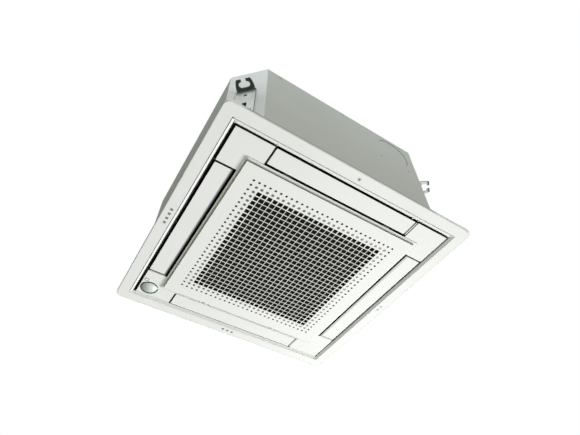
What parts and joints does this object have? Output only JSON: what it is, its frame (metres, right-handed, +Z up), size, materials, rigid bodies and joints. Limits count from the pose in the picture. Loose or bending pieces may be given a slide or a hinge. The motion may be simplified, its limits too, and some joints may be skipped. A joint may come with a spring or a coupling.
{
  "type": "ceiling cassette air conditioner",
  "caption": "Four-way ceiling cassette air conditioner: square flat panel with swinging air flaps and a hinged square-hole grille under a galvanised casing with hanger brackets.",
  "frame": {"origin": "centre of the four suspension bolts, in the seat plane of the hanger brackets", "axes": "+Z up, out of the room; +X to the side with the drain and the cable hole; -Y the front, with the duct knock-out"},
  "size_m": [0.625, 0.642, 0.3125],
  "materials": {
    "galvanised": "matt spangled zinc coating",
    "bracket_steel": "zinc plated",
    "panel_white": "fine satin texture",
    "flap_white": "fine satin texture",
    "inner_grey": "dull moulded",
    "foam_white": "expanded bead foam",
    "foam_dark": "closed cell foam",
    "rubber_black": "matt",
    "fan_plastic": "dull moulded",
    "motor_case": "satin",
    "steel": "machined",
    "fin_aluminium": "finned, pale",
    "copper": "drawn copper tube",
    "brass": "turned brass",
    "board_green": "solder mask",
    "filter_dark": "dull moulded",
    "net_dark": "woven polypropylene net",
    "sensor_lens": "smoked translucent lens",
    "sensor_black": "gloss"
  },
  "bodies": {
    "unit": {"air_sensor": "inner_grey", "bellmouth": "fan_plastic", "cable_bush": "rubber_black", "coil_plates": "galvanised", "control_board": "board_green", "control_box": "galvanised", "control_box_lid": "galvanised", "corner_cover_back_left": "panel_white", "corner_cover_back_right": "panel_white", "corner_cover_front_left": "panel_white", "corner_cover_front_right": "panel_white", "corner_plates": "galvanised", "drain_hose": "rubber_black", "drain_pan": "foam_white", "drain_pump": "inner_grey", "drain_socket": "inner_grey", "fan_motor": "motor_case", "flap_bushes": "inner_grey", "flap_motors": "steel", "flare_unions": "brass", "float_switch": "inner_grey", "gas_pipe": "copper", "grille_hinge_pins": "steel", "hanger_bracket_back_left": "bracket_steel", "hanger_bracket_back_right": "bracket_steel", "hanger_bracket_front_left": "bracket_steel", "hanger_bracket_front_right": "bracket_steel", "heat_exchanger": "fin_aluminium", "insulation_liner": "foam_white", "intake_frame": "inner_grey", "liquid_pipe": "copper", "motor_bushes": "rubber_black", "panel_frame": "panel_white", "panel_screws": "steel", "panel_seals": "foam_dark", "pipe_cover": "galvanised", "receiver_window": "sensor_lens", "return_bends": "copper", "sensor_dome": "sensor_lens", "sensor_ring": "sensor_black", "side_plate_back": "galvanised", "side_plate_front": "galvanised", "side_plate_left": "galvanised", "side_plate_right": "galvanised", "top_insulation": "foam_white", "top_plate": "galvanised"},
    "fan": {"fan_impeller": "fan_plastic", "motor_shaft": "steel", "fan_nut": "steel"},
    "flap_front": {"flap_front": "flap_white"},
    "flap_right": {"flap_right": "flap_white"},
    "flap_back": {"flap_back": "flap_white"},
    "flap_left": {"flap_left": "flap_white"},
    "grille": {"grille_face": "panel_white", "grille_ribs": "filter_dark", "filter_frame": "filter_dark", "filter_net": "net_dark"},
    "latch_left": {"latch_left": "filter_dark"},
    "latch_right": {"latch_right": "filter_dark"}
  },
  "joints": [
    {"name": "fan_spin", "type": "hinge", "parent": "unit", "child": "fan", "pos_m": [0, 0, 0], "axis": [0, 0, 1], "continuous": true},
    {"name": "flap_front_swing", "type": "hinge", "parent": "unit", "child": "flap_front", "pos_m": [0, -0.233, -0.1945], "axis": [1, 0, 0], "range_deg": [0, 60]},
    {"name": "flap_right_swing", "type": "hinge", "parent": "unit", "child": "flap_right", "pos_m": [0.233, 0, -0.1945], "axis": [0, 1, 0], "range_deg": [0, 60]},
    {"name": "flap_back_swing", "type": "hinge", "parent": "unit", "child": "flap_back", "pos_m": [0, 0.233, -0.1945], "axis": [-1, 0, 0], "range_deg": [0, 60]},
    {"name": "flap_left_swing", "type": "hinge", "parent": "unit", "child": "flap_left", "pos_m": [-0.233, 0, -0.1945], "axis": [0, -1, 0], "range_deg": [0, 60]},
    {"name": "grille_swing", "type": "hinge", "parent": "unit", "child": "grille", "pos_m": [0, 0.2232, -0.2004], "axis": [1, 0, 0], "range_deg": [0, 88]},
    {"name": "latch_left_slide", "type": "slide", "parent": "grille", "child": "latch_left", "axis": [0, 1, 0], "range_m": [0, 0.004], "stiffness_N_per_m": 250},
    {"name": "latch_right_slide", "type": "slide", "parent": "grille", "child": "latch_right", "axis": [0, 1, 0], "range_m": [0, 0.004], "stiffness_N_per_m": 250}
  ]
}
